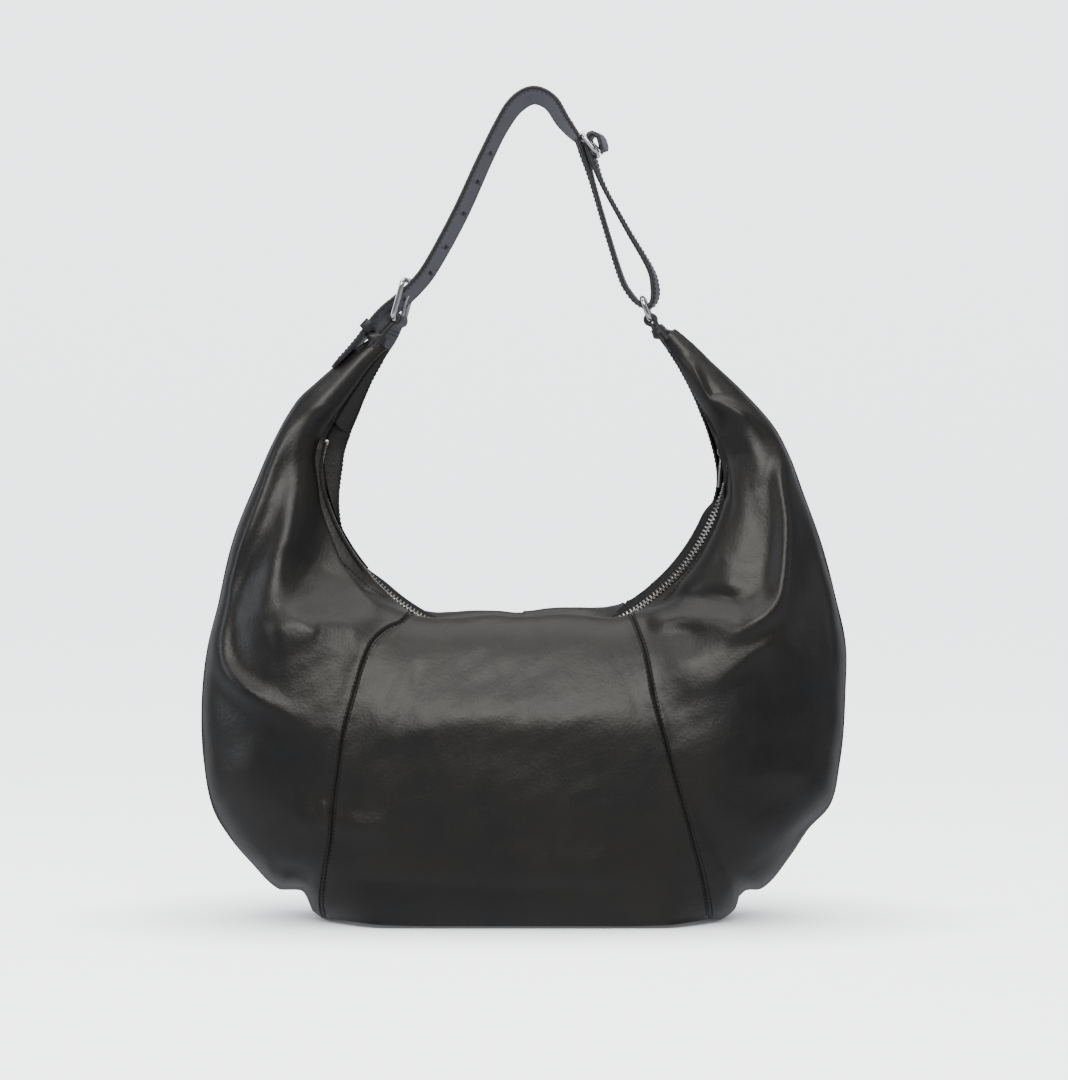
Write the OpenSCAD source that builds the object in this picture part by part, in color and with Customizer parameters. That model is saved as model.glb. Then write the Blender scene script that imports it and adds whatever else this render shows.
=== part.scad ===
// Slouchy crescent hobo bag with a belt shoulder strap, pin buckle and zip.
// Millimetres, +Z up, the front faces -Y, the bag stands on Z = 0.
// Every leather panel is one closed sheet taken from a single skin function.

/* [Bag body] */

// Widest point of the body
bag_w = 500; // [440:5:560]
// Deepest point of the body, front to back
bag_d = 176; // [140:2:210]
// Leather thickness
leather_t = 2; // [1.6:0.1:3]
// Where the horns end, measured round the arc from straight down
horn_end = 118; // [114:1:120]
// Length of the flat base panel
base_l = 286; // [240:2:300]
// Front to back size of the flat base panel
base_w = 140; // [110:2:142]

/* [Zip] */

// Height of the centre that the zip runs round
arc_z = 373; // [365:1:380]
// Radius of the zip chain
zip_r = 160; // [158:0.5:162]
// Spacing of the teeth
tooth_pitch = 3.2; // [2.8:0.1:4]
// Where the slider rests, measured from straight down
slider_at = 86; // [80:1:87]

/* [Strap] */

// Width of the belt
strap_w = 25; // [20:1:26]
// Thickness of the belt
strap_t = 3; // [2.4:0.1:3.4]
// Height of the line that the strap set swings about
swing_z = 455; // [454:0.5:456]
// Wire radius of the buckles and of the ring
wire_r = 2; // [1.6:0.1:2.2]

/* [Hidden] */

$fn = 48;
leather = [0.16, 0.15, 0.14];
edge_leather = [0.24, 0.21, 0.20];
cloth = [0.30, 0.29, 0.30];
steel = [0.80, 0.80, 0.82];

// ---------------------------------------------------------------- skin

// Outer radius of the silhouette at stations round the arc.
outline = [[20, 402], [28, 395], [35, 382], [40, 373], [45, 350], [50, 326.5],
    [60, 280.5], [70, 243], [80, 215], [90, 193], [98, 178], [104, 166],
    [110, 150], [118, 139]];
// Radius of the rim beside the zip.
rim = [[0, 157.3], [60, 157.3], [70, 156.5], [80, 151], [90, 143.5],
    [100, 136], [110, 131], [118, 129]];
// Half depth as a share of the deepest point.
depth_share = [[0, 1], [25, 0.98], [40, 0.89], [55, 0.73], [70, 0.54],
    [80, 0.42], [90, 0.32], [100, 0.24], [110, 0.16], [118, 0.1]];
// Section from the rim to the outer edge: share of the radius, share of the depth.
centre_section = [[0, 0], [-0.095, 0.24], [-0.03, 0.56], [0.155, 0.82],
    [0.43, 0.96], [0.71, 0.99], [0.91, 0.92], [0.992, 0.84]];
side_section = [[0, 0], [0.02, 0.36], [0.1, 0.66], [0.27, 0.9],
    [0.5, 1], [0.73, 0.86], [0.92, 0.5], [1, 0]];

seam_top = 33;
seam_bottom = 22;
seam_gap = 0.02;
corner_lift = 16;
zip_gap = 9;
edge_gap = 0.4;
side_scale = bag_w / 500;

function ease(u) = let (c = min(1, max(0, u))) c * c * (3 - 2 * c);
function mix(a, b, u) = a + (b - a) * u;
function unit(v) = v / max(norm(v), 0.000001);
function cubic(p, q, r, s, u) = q + 0.5 * u * (r - p
    + u * (2 * p - 5 * q + 4 * r - s + u * (3 * (q - r) + s - p)));

// Smooth value between stations of [angle, value].
function step_of(s, x, i = 0) = i >= len(s) - 2 || x < s[i + 1][0] ? i : step_of(s, x, i + 1);
function rise(s, i) = i == 0 ? 0 : let (j = min(i + 1, len(s) - 1))
    (s[j][1] - s[i - 1][1]) / (s[j][0] - s[i - 1][0]);
function at_station(s, x) = let (i = step_of(s, max(x, s[0][0])),
    h = s[i + 1][0] - s[i][0],
    u = (max(x, s[0][0]) - s[i][0]) / h,
    v = 1 - u)
    s[i][1] * (1 + 2 * u) * v * v + rise(s, i) * h * u * v * v
    + s[i + 1][1] * (3 - 2 * u) * u * u - rise(s, i + 1) * h * u * u * v;

// Smooth point along an evenly spaced list of points.
function along(list, t) = let (n = len(list) - 1,
    i = min(n - 1, floor(t * n)))
    cubic(list[max(0, i - 1)], list[i], list[i + 1], list[min(n, i + 2)], t * n - i);

function outer_r(a) = side_scale * min(at_station(outline, abs(a)),
    (arc_z - corner_lift * ease((abs(a) - 17) / 8)) / cos(min(abs(a), 60)));
function seam(t) = mix(seam_top, seam_bottom, ease(t * 0.75 + 0.1));

// Point of the front skin: angle a from straight down, t from rim to outer edge.
function skin(a, t) = let (
    w = mix(ease((abs(a) - 6) / 36), ease((abs(a) - 16) / 12), t * t),
    f = mix(along(centre_section, t), along(side_section, t), w),
    r = mix(at_station(rim, abs(a)), outer_r(a), f[0]),
    gap = zip_gap * (1 - ease((abs(a) - 88) / 12)),
    y = edge_gap + gap * (1 - t) * (1 - t) + (bag_d / 2 - edge_gap)
        * at_station(depth_share, abs(a)) * f[1])
    [r * sin(a), -y, arc_z - r * cos(a)];
// The same point moved into the bag by d.
function inset_skin(a, t, d) = let (e = 0.01, s = min(max(t, e), 1 - e))
    own_side(skin(a, t) + d * unit(cross(skin(a + 1, s) - skin(a - 1, s),
        skin(a, s + e) - skin(a, s - e))));
// Keeps a point of the front half on the front side of the middle.
function own_side(p) = [p[0], min(p[1], -edge_gap / 2), p[2]];

function panel_angle(kind, u, t) =
    kind == "left" ? mix(-horn_end, -seam(t) - seam_gap, u)
    : kind == "centre" ? mix(seam_gap - seam(t), seam(t) - seam_gap, u)
    : kind == "right" ? mix(seam(t) + seam_gap, horn_end, u)
    : mix(-lining_end, lining_end, u);

// Closed sheet between two depths under the skin.
module skin_sheet(kind, nu, nv, d0, d1, t0, t1) {
    row = nu + 1;
    grid = row * (nv + 1);
    pts = [for (d = [d0, d1], j = [0 : nv], i = [0 : nu])
        let (t = mix(t0, t1, j / nv)) inset_skin(panel_angle(kind, i / nu, t), t, d)];
    tops = [for (j = [0 : nv - 1], i = [0 : nu - 1]) let (k = j * row + i)
        each [[k, k + 1, k + row + 1], [k, k + row + 1, k + row]]];
    backs = [for (f = tops) [f[2] + grid, f[1] + grid, f[0] + grid]];
    ring = concat([for (i = [0 : nu - 1]) i],
        [for (j = [0 : nv - 1]) j * row + nu],
        [for (i = [nu : -1 : 1]) nv * row + i],
        [for (j = [nv : -1 : 1]) j * row]);
    walls = [for (k = [0 : len(ring) - 1])
        let (p = ring[k], q = ring[(k + 1) % len(ring)])
        each [[q, p, p + grid], [q, p + grid, q + grid]]];
    polyhedron(points = pts, faces = concat(tops, backs, walls), convexity = 8);
}

side_steps = 26;
centre_steps = 14;
down_steps = 18;
lining_d = 4.6;
lining_t = 1;
lining_end = 98;

module side_panel(kind) {
    skin_sheet(kind, side_steps, down_steps, 0, leather_t, 0, 1);
}

module centre_panel() {
    skin_sheet("centre", centre_steps, down_steps, 0, leather_t, 0, 1);
}

module front_centre_panel() {
    color(leather) centre_panel();
}

module front_left_panel() {
    color(leather) side_panel("left");
}

module front_right_panel() {
    color(leather) side_panel("right");
}

module back_centre_panel() {
    color(leather) mirror([0, 1, 0]) centre_panel();
}

module back_left_panel() {
    color(leather) mirror([0, 1, 0]) side_panel("left");
}

module back_right_panel() {
    color(leather) mirror([0, 1, 0]) side_panel("right");
}

module lining_sheet() {
    skin_sheet("lining", 40, 16, lining_d, lining_d + lining_t, 0.07, 0.975);
}

module lining_front() {
    color(cloth) lining_sheet();
}

module lining_back() {
    color(cloth) mirror([0, 1, 0]) lining_sheet();
}

// ---------------------------------------------------------------- base

base_t = 2.4;
base_corner = 50;
board_t = 2;
board_inset = 5;

module rounded_plate(l, w, r, t) {
    linear_extrude(height = t) {
        square([l - 2 * r, w], center = true);
        square([l, w - 2 * r], center = true);
        for (sx = [-1, 1], sy = [-1, 1])
            translate([sx * (l / 2 - r), sy * (w / 2 - r)]) circle(r = r);
    }
}

module base_panel() {
    color(leather) rounded_plate(base_l, base_w, base_corner, base_t);
}

module base_board() {
    color(cloth)
        translate([0, 0, base_t + 0.3])
            rounded_plate(base_l - 2 * board_inset, base_w - 2 * board_inset,
                base_corner - board_inset, board_t);
}

// ---------------------------------------------------------------- zip

tape_t = 0.8;
tooth_in = 0.8;
tooth_w = 3.2;
tape_in = tooth_in + tooth_w;
tape_out = 11;
tooth_h = 3.6;
chain_right = 90;
chain_left = -75;
turn_r = 60;
turn_end = -112;
cut = 0.1;
turn_x = (zip_r - turn_r) * sin(chain_left);
turn_z = arc_z - (zip_r - turn_r) * cos(chain_left);

// Stand the child on an arc: its X runs along the arc, its Z to the centre.
module on_arc(x, z, r, a) {
    translate([x + r * sin(a), 0, z - r * cos(a)]) rotate([0, -a, 0]) children();
}

module arc_strip(x, z, r, t, y0, y1, a0, a1) {
    translate([x, 0, z])
        rotate([90, 0, 0])
            rotate([0, 0, a0 - 90])
                rotate_extrude(angle = a1 - a0, $fn = 180)
                    translate([r - t / 2, -y1]) square([t, y1 - y0]);
}

module tape_half() {
    arc_strip(0, arc_z, zip_r, tape_t, -tape_out, -tape_in, chain_left + cut, chain_right + 1.2);
    arc_strip(turn_x, turn_z, turn_r, tape_t, -tape_out, -tape_in, turn_end, chain_left - cut);
}

module tooth() {
    translate([0, -tooth_in - tooth_w / 2, 0])
        cube([tooth_pitch * 0.55, tooth_w, tooth_h], center = true);
}

module teeth_half() {
    main = floor((chain_right - chain_left) * PI * zip_r / 180 / tooth_pitch) - 1;
    turn = floor((chain_left - turn_end) * PI * turn_r / 180 / tooth_pitch) - 2;
    for (i = [0 : main])
        on_arc(0, arc_z, zip_r, chain_left + (i + 0.5) * tooth_pitch * 180 / PI / zip_r) tooth();
    for (i = [0 : turn])
        on_arc(turn_x, turn_z, turn_r,
            chain_left - (i + 0.5) * tooth_pitch * 180 / PI / turn_r) tooth();
}

module zip_tape_front() {
    color(cloth) tape_half();
}

module zip_tape_back() {
    color(cloth) mirror([0, 1, 0]) tape_half();
}

module zip_teeth_front() {
    color(steel) teeth_half();
}

module zip_teeth_back() {
    color(steel) mirror([0, 1, 0]) teeth_half();
}

module zip_stops() {
    color(steel) {
        on_arc(turn_x, turn_z, turn_r, turn_end + 1) cube([4, 2 * tape_in, 4], center = true);
        for (s = [-1, 1])
            on_arc(0, arc_z, zip_r, chain_right + 0.6)
                translate([0, s * (tooth_in + tooth_w / 2), 0])
                    cube([2.4, tooth_w, 4], center = true);
    }
}

slider_l = 12;
slider_w = 12.4;
plate_t = 1.5;
plate_off = 3.1;
post_t = 0.9;
bridge_h = 4.2;
pin_off = plate_off + plate_t / 2 + bridge_h - 1.6;

module slider_body() {
    for (s = [-1, 1])
        translate([0, 0, s * plate_off])
            cube([slider_l, slider_w, plate_t], center = true);
    translate([slider_l / 2 - 2.2, 0, 0])
        cube([3.6, post_t, 2 * plate_off + 0.4], center = true);
    for (s = [-1, 1], e = [-1, 1])
        translate([0, s * (slider_w / 2 - 0.6), e * (plate_off - plate_t / 2 - 0.45)])
            cube([slider_l, 1.2, 1], center = true);
    difference() {
        translate([0, 0, plate_off + bridge_h / 2 + 0.4])
            cube([7, 2.6, bridge_h + 0.8], center = true);
        translate([0, 0, pin_off]) rotate([90, 0, 0]) cylinder(r = 1.5, h = 6, center = true);
    }
}

module zip_slider() {
    color(steel) on_arc(0, arc_z, zip_r, slider_at) slider_body();
}

pull_l = 28;
pull_w = 7;
pull_t = 1.8;

// The puller hangs back along the chain from the pin through the bridge.
module puller_body() {
    rotate([90, 0, 0]) cylinder(r = 1.1, h = 6.4, center = true);
    for (s = [-1, 1])
        translate([-2.6, s * 2.7, 0]) cube([7.4, 1.4, pull_t], center = true);
    difference() {
        translate([-6 - pull_l / 2, 0, 0]) cube([pull_l, pull_w, pull_t], center = true);
        translate([-pull_l, 0, 0]) cylinder(r = 1.8, h = 6, center = true);
    }
}

module zip_puller() {
    color(steel)
        on_arc(0, arc_z, zip_r, slider_at) translate([0, 0, pin_off]) puller_body();
}

// ---------------------------------------------------------------- strap

left_bar = [-97, 464];
left_top_bar = [-88.5, 494];
right_bar = [98.5, 464];
right_top_bar = [92.5, 480.5];
bar_a = [46.5, 605];
bar_b = [57, 591.5];
neck_left = -104.5;
neck_right = 105.5;
tab_w = 18;
tab_t = 3;
loop_r = 4.6;
neck_r = 9.5;

// Middle line of the belt, from the tail tip over the top to the adjuster.
belt_line = [[-147.5, 428.5], [-134, 443], [-119, 458.5], [-107, 469], [-96, 478],
    [-84, 489], [-71.5, 505], [-49.6, 545], [-30.4, 587], [-17.5, 613],
    [-6, 630], [7.5, 637.5], [21, 632], [31, 617], [42.2, 603.6]];
// Middle line of the piece from the adjuster through the ring and back, to its free end.
loop_line = [[43, 602.4], [47.4, 590], [53, 571], [63.5, 535], [75.5, 497],
    [82.5, 484], [90, 476], [97, 474], [101.4, 479.5], [101.8, 490],
    [97.6, 504.5], [80, 534.5], [62.5, 566], [54.6, 586], [50.8, 598],
    [52.8, 607], [59.5, 604.5], [62.8, 593.5]];
holes_at = [0.42, 0.461, 0.504, 0.545, 0.586];
hole_r = 2.2;
slot_r = 2.8;

function line_normal(line, t) = let (e = 0.004,
    d = unit(along(line, min(t + e, 1)) - along(line, max(t - e, 0))))
    [-d[1], d[0]];
function beside(line, t, d) = along(line, t) + d * line_normal(line, t);

// Flat band of leather that follows a line in the XZ plane.
module band(line, w, t, n) {
    pts = concat([for (i = [0 : n]) beside(line, i / n, t / 2)],
        [for (i = [n : -1 : 0]) beside(line, i / n, -t / 2)]);
    rotate([90, 0, 0]) linear_extrude(height = w, center = true) polygon(pts);
}

// Peg across a band, for holes.
module across(line, t, r, h) {
    p = along(line, t);
    n = line_normal(line, t);
    translate([p[0], 0, p[1]])
        rotate([0, atan2(n[0], n[1]), 0]) cylinder(r = r, h = h, center = true);
}

module strap() {
    color(leather) difference() {
        band(belt_line, strap_w, strap_t, 70);
        for (t = holes_at) across(belt_line, t, hole_r, 4 * strap_t);
        translate([-94, 0, 480])
            rotate([0, 10, 0]) cylinder(r = slot_r, h = 16, center = true);
        prong_room(bar_a, adjuster_rest, -prong_clear);
    }
}

module strap_loop() {
    color(leather) difference() {
        band(loop_line, strap_w, strap_t, 84);
        prong_room(bar_a, adjuster_rest, -prong_clear);
    }
}

// Bar along Y at a point of the XZ plane.
module bar(p, r, l) {
    translate([p[0], 0, p[1]]) rotate([90, 0, 0]) cylinder(r = r, h = l, center = true);
}

// Round wire from one point to another, both [x, y, z].
module wire(p, q, r) {
    d = q - p;
    translate(p)
        rotate([0, acos(d[2] / norm(d)), atan2(d[1], d[0])]) cylinder(r = r, h = norm(d));
}

module wire_frame(p, q, half) {
    for (e = [p, q]) {
        bar(e, wire_r, 2 * half);
        for (s = [-1, 1]) translate([e[0], s * half, e[1]]) sphere(r = wire_r + knuckle);
    }
    for (s = [-1, 1]) wire([p[0], s * half, p[1]], [q[0], s * half, q[1]], wire_r);
}

frame_half = 15.6;
knuckle = 0.2;

module buckle_frame() {
    color(steel) wire_frame(left_bar, left_top_bar, frame_half);
}

module adjuster_frame() {
    color(steel) wire_frame(bar_a, bar_b, frame_half);
}

module ring() {
    color(steel) wire_frame(right_bar, right_top_bar, frame_half);
}

prong_r = 1.5;

prong_clear = wire_r + prong_r + knuckle + 0.1;
buckle_rest = left_top_bar + [0.6, 1.6];
adjuster_rest = bar_b + [1, -1.4];

// Where a prong's tip rests, beside the point q.
function prong_tip(p, q, clear) = q + unit([p[1] - q[1], q[0] - p[0]]) * clear;

module prong_shank(p, q, clear, r) {
    tip = prong_tip(p, q, clear);
    start = p + unit(tip - p) * (wire_r + 1);
    wire([start[0], 0, start[1]], [tip[0], 0, tip[1]], r);
}

// Room for a prong, its eye and its tip, cut from the belt.
module prong_room(p, q, clear) {
    tip = prong_tip(p, q, clear);
    prong_shank(p, q, clear, prong_r + 0.6);
    bar(p, wire_r + 2.1, 5.2);
    translate([tip[0], 0, tip[1]]) sphere(r = prong_r + knuckle + 0.4);
}

module prong(p, q, clear) {
    tip = prong_tip(p, q, clear);
    translate([p[0], 0, p[1]]) rotate([90, 0, 0]) difference() {
        cylinder(r = wire_r + 1.7, h = 4.4, center = true);
        cylinder(r = wire_r + 0.2, h = 6, center = true);
    }
    prong_shank(p, q, clear, prong_r);
    translate([tip[0], 0, tip[1]]) sphere(r = prong_r + knuckle);
}

module buckle_prong() {
    color(steel) prong(left_bar, buckle_rest, prong_clear);
}

module adjuster_prong() {
    color(steel) prong(bar_a, adjuster_rest, -prong_clear);
}

// Leather tab: a rounded neck on the swing line and an eye round the bar.
module tab(neck_x, bar_at) {
    difference() {
        union() {
            translate([neck_x, 0, swing_z]) {
                rotate([0, 90, 0]) cylinder(r = neck_r, h = tab_t, center = true);
                translate([0, 0, neck_r / 2]) cube([tab_t, tab_w, neck_r], center = true);
            }
            bar(bar_at, loop_r, tab_w);
            mid = (neck_x + bar_at[0]) / 2;
            translate([mid, 0, bar_at[1] + 1.6])
                cube([abs(neck_x - bar_at[0]) + 1, tab_w, 5.4], center = true);
        }
        bar(bar_at, wire_r + 0.1, tab_w + 2);
        translate([bar_at[0], 0, bar_at[1]]) cube([20, 5, 12], center = true);
    }
}

module left_tab() {
    color(leather) tab(neck_left, left_bar);
}

module right_tab() {
    color(leather) tab(neck_right, right_bar);
}

collar_w = 17;
collar_top = swing_z - neck_r - 0.3;

// Leather wrapped round the end of a horn, drawn for the right side.
module collar(neck_x) {
    rotate([90, 0, 0]) linear_extrude(height = collar_w, center = true)
        polygon([[113.4, 433.6], [neck_x - 1, 434.5], [neck_x - 4.3, 440],
            [neck_x - 4.3, collar_top], [neck_x + 4.5, collar_top],
            [113.4, 438.8], [121.6, 438.5]]);
}

module left_collar() {
    color(leather) mirror([1, 0, 0]) collar(-neck_left);
}

module right_collar() {
    color(leather) collar(neck_right);
}

keeper_t = 1.8;
keeper_l = 9;

module keeper() {
    p = along(belt_line, 2 / 14);
    n = line_normal(belt_line, 2 / 14);
    color(leather) translate([p[0], 0, p[1]]) rotate([0, atan2(n[0], n[1]), 0])
        difference() {
            cube([keeper_l, strap_w + 4.4, strap_t + 2 * keeper_t + 0.8], center = true);
            cube([keeper_l + 2, strap_w + 0.6, strap_t + 0.6], center = true);
        }
}

// ---------------------------------------------------------------- draw

front_centre_panel();
front_left_panel();
front_right_panel();
back_centre_panel();
back_left_panel();
back_right_panel();
base_panel();
base_board();
lining_front();
lining_back();
zip_tape_front();
zip_tape_back();
zip_teeth_front();
zip_teeth_back();
zip_stops();
zip_slider();
zip_puller();
left_collar();
right_collar();
left_tab();
right_tab();
keeper();
strap();
strap_loop();
buckle_frame();
buckle_prong();
adjuster_frame();
adjuster_prong();
ring();
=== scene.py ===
"""Looks for the hobo bag: folded leather panels, stitching, zip, belt strap and nickel hardware."""

import math

import bpy
import numpy as np
from mathutils import Matrix, Vector


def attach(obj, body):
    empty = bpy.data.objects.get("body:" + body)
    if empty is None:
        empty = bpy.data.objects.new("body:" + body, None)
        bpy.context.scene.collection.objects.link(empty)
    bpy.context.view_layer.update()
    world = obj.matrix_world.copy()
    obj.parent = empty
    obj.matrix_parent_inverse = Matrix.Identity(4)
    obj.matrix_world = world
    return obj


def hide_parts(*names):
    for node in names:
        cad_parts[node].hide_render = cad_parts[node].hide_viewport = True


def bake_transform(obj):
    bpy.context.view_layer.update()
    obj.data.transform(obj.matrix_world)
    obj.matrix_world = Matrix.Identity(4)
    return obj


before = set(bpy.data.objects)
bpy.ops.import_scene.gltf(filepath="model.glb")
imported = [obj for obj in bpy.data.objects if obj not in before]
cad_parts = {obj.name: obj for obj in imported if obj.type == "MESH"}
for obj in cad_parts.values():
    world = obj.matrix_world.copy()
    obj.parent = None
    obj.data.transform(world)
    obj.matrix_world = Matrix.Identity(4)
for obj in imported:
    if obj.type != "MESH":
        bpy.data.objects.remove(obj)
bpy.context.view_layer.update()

MM = 0.001
LEFT, RIGHT = -1, 1
SIDES = {LEFT: "left", RIGHT: "right"}
FRONT, BACK = 1, -1
FACES = {FRONT: "front", BACK: "back"}
Y_AXIS = np.array([0.0, 1.0, 0.0])

# ---- numbers (mm)

# The zip's centre line is an arc of radius ZIP_R round (0, ARC_Z); the body is laid out round it.
ARC_Z = 373.0
ZIP_R = 160.0
HALF_DEPTH = 88.0
LEATHER = 2.0
# How far each face's skin stays off the middle plane, and how much more beside the open zip.
MIN_GAP, MOUTH_GAP = 0.4, 8.6
# How far the body's sides are lifted off the floor beyond the base.
SIDE_LIFT = 19

# Outer radius of the body at angles from straight down, round the zip's centre.
OUTLINE = {
    LEFT: [(20, 402), (24.6, 400), (25.6, 393), (28.5, 399), (32.6, 392), (36.3, 385), (40, 375), (45, 351),
        (50, 325.5), (56, 296), (62, 267), (72, 234), (80, 211), (88, 195.5), (95, 184), (100, 176),
        (104, 167.5), (108, 160), (112, 154), (116.5, 148.5), (122.5, 141.5)],
    RIGHT: [(20, 402), (24.3, 400), (25.2, 393), (28.2, 396), (32.7, 385), (36, 376), (40, 371), (44, 353),
        (51, 321), (57, 298), (63, 271), (71, 243), (78.5, 221.5), (86, 206.5), (92, 195), (101.5, 174),
        (111, 158), (116, 152.5), (119.5, 149.5), (125.5, 144.5)],
}
# Radius of the leather's rim at the same angles.
RIM = {
    FRONT: {
        LEFT: [(0, 157.3), (30, 161), (42, 159.5), (60, 158.5), (71, 158.5), (78, 156.8), (86, 155),
            (90, 152.5), (95, 146), (100, 141), (108, 134), (118, 128.5), (122.5, 126)],
        RIGHT: [(0, 157.3), (33, 160.6), (55, 163.5), (70, 163.5), (79, 157.5), (91, 146), (100, 138),
            (110, 133.5), (121, 131), (125.5, 130.5)],
    },
    BACK: {
        LEFT: [(0, 157), (42, 161), (54, 161), (63, 158), (80, 143), (85, 139.5), (95, 130.5), (103, 126.3),
            (114, 124), (122.5, 123)],
        RIGHT: [(0, 156), (29, 154), (41, 151), (55, 152.5), (73, 155), (80, 152), (91, 143), (101, 136),
            (112, 132), (121, 130), (125.5, 129.5)],
    },
}
# Where each horn closes above the zip, in degrees.
CLOSED = {LEFT: (90, 95), RIGHT: (97, 103)}
# Share of the half depth at angles from straight down.
DEPTH_SHARE = [(0, 1), (25, 0.98), (40, 0.89), (55, 0.73), (70, 0.54), (80, 0.42), (90, 0.32), (100, 0.24),
    (110, 0.16), (118, 0.11), (126, 0.075)]
# Cross-sections from rim to outer edge: share of the way out, share of the depth.
CENTRE_SECTION = [(0, 0), (-0.095, 0.24), (-0.03, 0.56), (0.155, 0.82), (0.43, 0.975), (0.71, 0.968),
    (0.91, 0.905), (0.992, 0.84)]
SIDE_SECTION = [(0, 0), (0.02, 0.36), (0.1, 0.66), (0.27, 0.9), (0.5, 1), (0.73, 0.86), (0.92, 0.5), (1, 0)]
# Where the two front seams run: share of the way from rim to outer edge, and angle.
SEAM = {
    LEFT: [(0, 32.6), (0.21, 33.5), (0.26, 35.2), (0.33, 36.5), (0.39, 35.7), (0.445, 34.2), (0.54, 31.3),
        (0.61, 28.9), (0.705, 26.5), (0.8, 24.7), (1, 22.3)],
    RIGHT: [(0, 31.9), (0.05, 31.8), (0.3, 30.2), (0.44, 26.9), (0.56, 24.6), (0.68, 23.2), (0.76, 22.5),
        (0.87, 21.7), (1, 21.1)],
}
# Angle where each horn ends.
HORN_END = {LEFT: 122.5, RIGHT: 125.5}

# Folds of the leather: line in (x, z), height, width on its left and on its right.
FRONT_FOLDS = [
    # left horn: the long ridge that curls in under the hollow
    ([(-172, 420), (-182, 392), (-193, 363), (-209, 315), (-220, 286), (-228, 260), (-232, 236), (-233, 215),
      (-229, 199), (-218, 186), (-200, 175), (-178, 164), (-140, 150)], 12, 9, 10),
    ([(-150, 398), (-148, 356), (-149, 320), (-154, 290), (-166, 264), (-182, 242)], -24, 45, 22),
    ([(-174, 384), (-183, 342), (-191, 310), (-200, 283), (-207, 258), (-210, 236)], -6, 11, 20),
    ([(-138, 312), (-141, 296), (-130, 276), (-116, 262)], 3.2, 9, 9),
    ([(-200, 244), (-172, 250), (-142, 249), (-112, 244)], -3, 16, 12),
    ([(-196, 224), (-172, 230), (-138, 233), (-104, 232)], 3.8, 11, 18),
    ([(-160, 226), (-144, 222), (-128, 223)], -1.0, 7, 8),
    ([(-121, 210), (-131, 184), (-139, 150)], -1.2, 5, 7),
    ([(-222, 140), (-200, 104), (-172, 70), (-150, 44)], 3.0, 20, 24),
    ([(-178, 80), (-152, 82), (-124, 79), (-92, 74)], 3.2, 11, 10),
    ([(-152, 100), (-150, 86), (-149, 74)], 1.8, 2.5, 3),
    ([(-196, 42), (-176, 41), (-158, 31)], -3.5, 9, 6),
    ([(-149, 36), (-110, 37), (-66, 34), (20, 31), (90, 31)], -1.2, 5, 7),
    # right horn: pleat, long ridge, and the shelf it curls into
    ([(118, 436), (130, 427), (142, 404), (152, 400), (166, 395), (178, 387), (194, 372)], 6.5, 3.5, 10),
    ([(124, 414), (132, 388), (148, 368), (166, 358), (184, 350)], -8, 14, 17),
    ([(190, 385), (199, 360), (200, 336), (202, 305), (199, 273), (193, 250), (177, 235), (150, 222),
      (128, 217)], 11, 11, 9),
    ([(168, 356), (178, 326), (181, 296), (176, 270), (160, 254)], -5, 24, 16),
    ([(213, 320), (219, 285), (221, 245), (216, 205)], -3.6, 14, 13),
    ([(228, 300), (235, 262), (239, 220), (238, 170)], 3.4, 8, 8),
    ([(150, 330), (152, 300), (146, 276)], 1.6, 7, 7),
    ([(84, 245), (104, 251), (130, 252), (160, 250), (178, 247)], -5, 8, 9),
    ([(92, 233), (118, 236), (142, 234), (166, 236)], 4, 7, 8),
    ([(170, 208), (186, 184), (196, 150), (198, 116)], -6, 30, 26),
    ([(228, 160), (232, 120), (222, 92)], 2.4, 12, 10),
    ([(238, 104), (214, 88), (188, 74), (160, 72)], 3.2, 10, 14),
    ([(228, 78), (204, 60), (190, 48), (168, 36)], -4, 9, 8),
    # middle: the fullest line, and the soft roll above the base
    ([(-128, 152), (-60, 158), (10, 160), (70, 162), (120, 156)], 5.2, 22, 24),
    ([(210, 224), (182, 212), (152, 205), (122, 204), (96, 196)], 4, 26, 13),
    ([(-70, 50), (-20, 46), (40, 46), (110, 50)], 1.2, 22, 16),
]
BACK_FOLDS = [
    ([(-176, 400), (-196, 340), (-214, 290), (-222, 240), (-206, 194), (-168, 162)], 8, 9, 10),
    ([(-166, 380), (-186, 326), (-200, 272), (-200, 226)], -7, 14, 14),
    ([(-196, 243), (-150, 241), (-100, 240)], -5, 8, 8),
    ([(-170, 230), (-130, 230)], 3, 8, 8),
    ([(126, 424), (150, 394), (178, 376), (196, 350)], -5, 9, 9),
    ([(178, 396), (202, 340), (214, 286), (216, 234), (196, 192), (160, 164)], 8, 10, 9),
    ([(168, 360), (180, 310), (176, 262)], -6, 16, 14),
    ([(92, 241), (136, 245), (172, 236)], -5, 8, 8),
    ([(110, 231), (150, 230)], 3, 8, 8),
    ([(-200, 120), (-160, 90), (-110, 74)], 3.2, 16, 16),
    ([(214, 116), (170, 86), (120, 72)], 3.2, 16, 16),
    ([(-140, 36), (-60, 34), (60, 33), (140, 36)], -1.8, 5, 5),
    ([(-120, 154), (0, 160), (120, 152)], 3, 24, 26),
    ([(-60, 104), (10, 100), (80, 106)], -1.8, 22, 24),
]


def ease(u):
    u = np.clip(u, 0, 1)
    return u * u * (3 - 2 * u)


def mix(a, b, u):
    return a + (b - a) * u


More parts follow.
